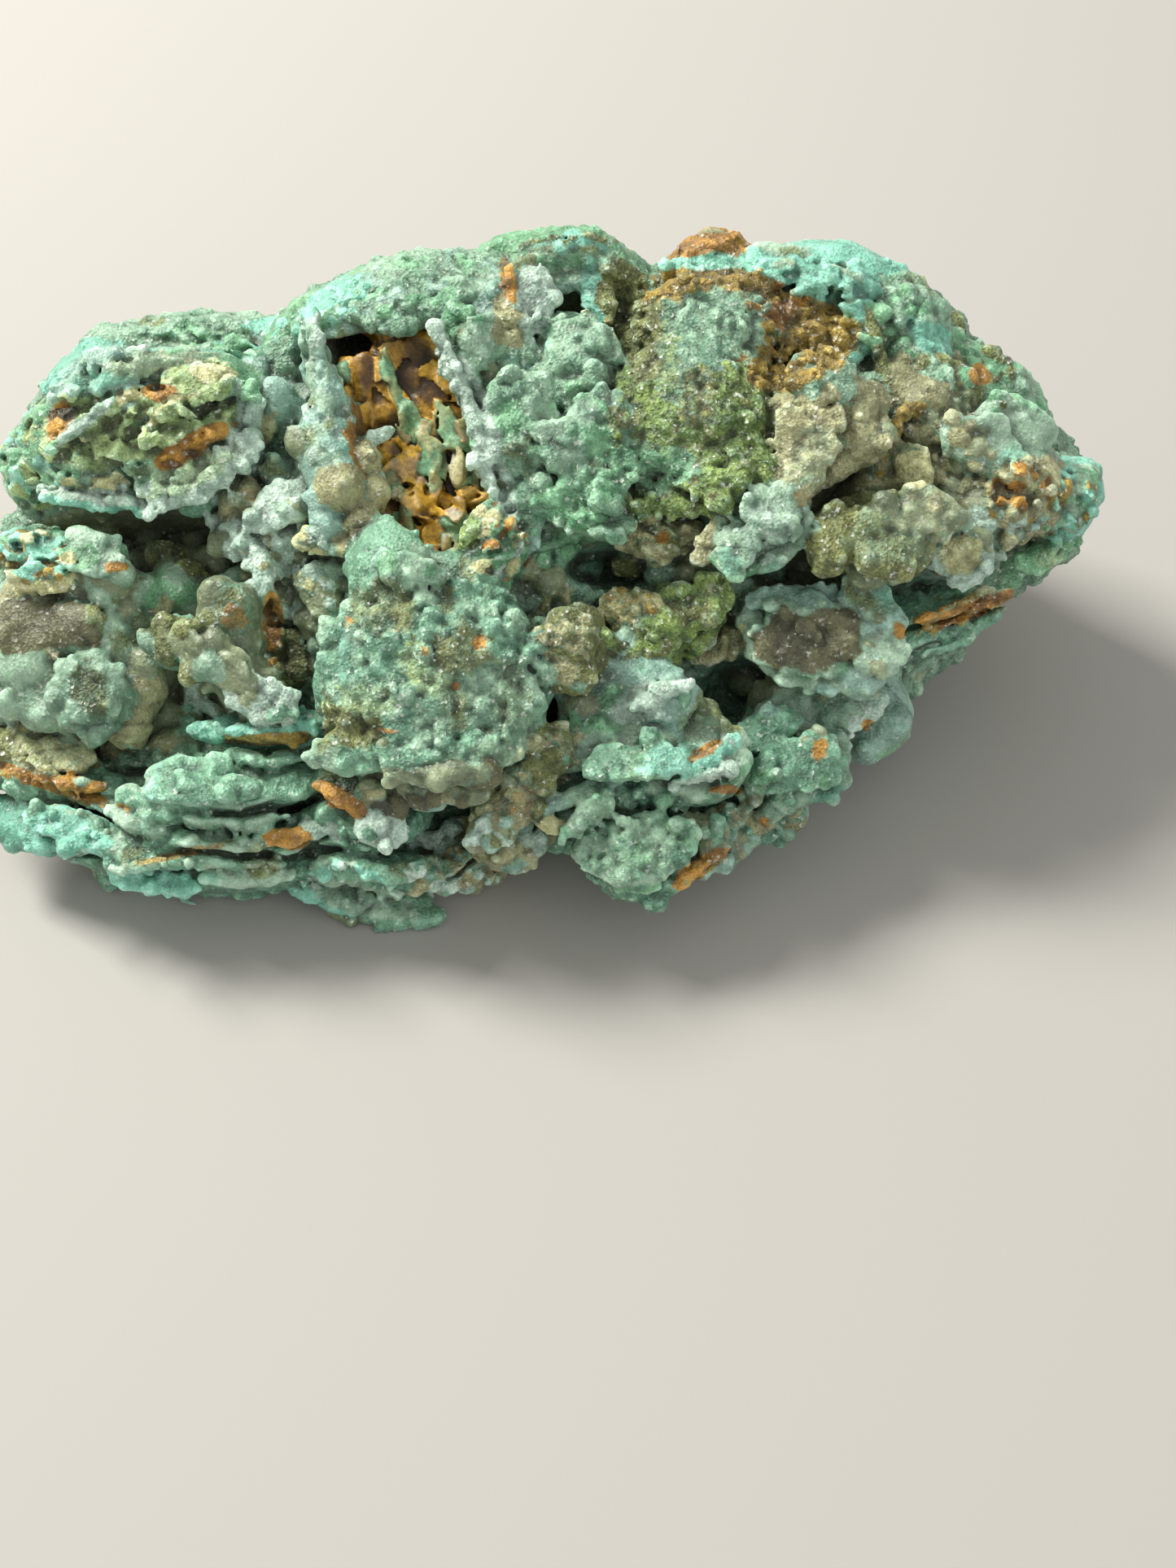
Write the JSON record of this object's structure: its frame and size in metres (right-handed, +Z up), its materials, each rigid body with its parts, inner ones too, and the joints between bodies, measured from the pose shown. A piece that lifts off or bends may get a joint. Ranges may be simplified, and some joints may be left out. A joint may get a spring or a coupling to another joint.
{
  "type": "smithsonite cluster",
  "caption": "Botryoidal smithsonite specimen: waxy blue-green crust with scalloped shelves, knobs and iron-stained hollows, lying on its base.",
  "frame": {"origin": "On the surface it lies on, under the middle of the bounding box.", "axes": "+X along the specimen's length, to the right seen from the show face; +Y away from the viewer; +Z up."},
  "size_m": [0.1282, 0.075, 0.0496],
  "materials": {
    "smithsonite": "waxy, slightly sparkling mineral crust, blue-green with olive, brown and orange stains"
  },
  "bodies": {
    "root": {"smithsonite_cluster": "smithsonite"}
  },
  "joints": []
}
